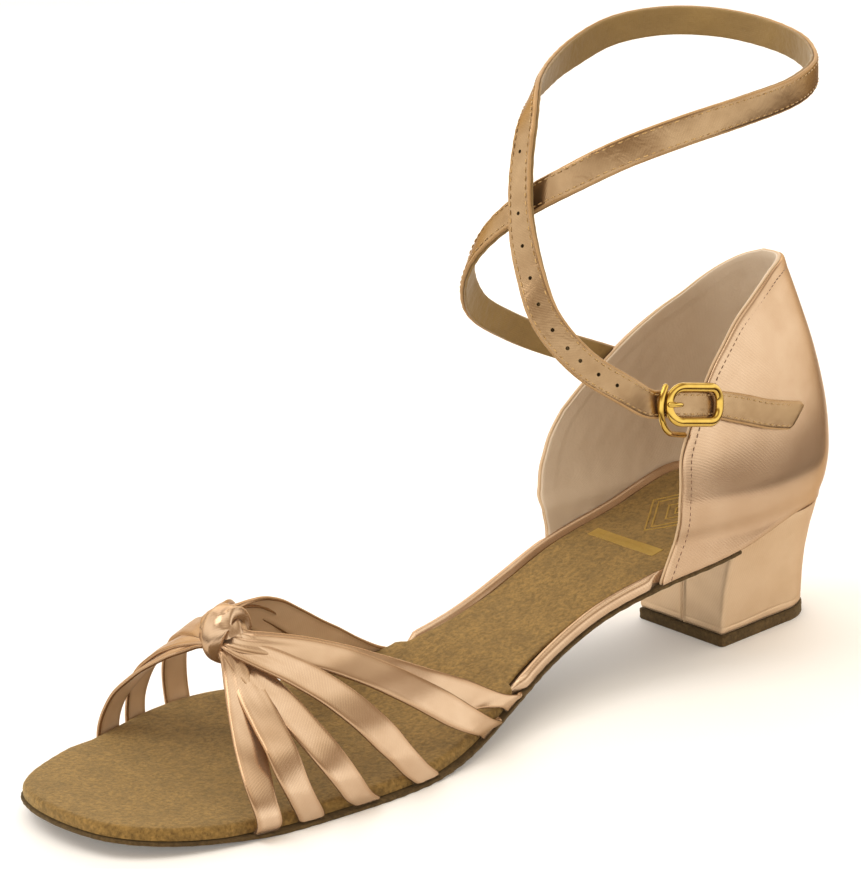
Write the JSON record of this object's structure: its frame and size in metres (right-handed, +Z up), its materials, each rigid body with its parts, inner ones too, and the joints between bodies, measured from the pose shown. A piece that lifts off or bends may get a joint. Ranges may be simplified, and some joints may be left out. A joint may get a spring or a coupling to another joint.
{
  "type": "latin dance shoe",
  "caption": "Open latin dance sandal with a low block heel, knotted satin vamp strips, a closed hollow heel counter and a long strap that crosses round the ankle to a side buckle.",
  "frame": {"origin": "on the floor under the middle of the heel, at the centre of the top lift's tread", "axes": "+X from heel to toe along the shoe, +Y to the wearer's left (the outer side), +Z up"},
  "size_m": [0.2415, 0.0832, 0.1598],
  "materials": {
    "outsole_suede": "dark chrome suede, split edge",
    "sock_suede": "olive tan suede with a short nap",
    "satin": "flesh gold satin, soft sheen",
    "strap_satin": "crinkled flesh gold satin over a soft lining",
    "gold_plate": "polished gold plate"
  },
  "bodies": {
    "root": {"outsole": "outsole_suede", "top_lift": "outsole_suede", "insole": "satin", "sock": "sock_suede", "heel_block": "satin", "counter": "satin", "vamp_straps": "satin", "knot_wrap": "satin", "ankle_strap": "strap_satin", "buckle_frame": "gold_plate", "buckle_hook": "gold_plate", "buckle_prong": "gold_plate"}
  },
  "joints": []
}
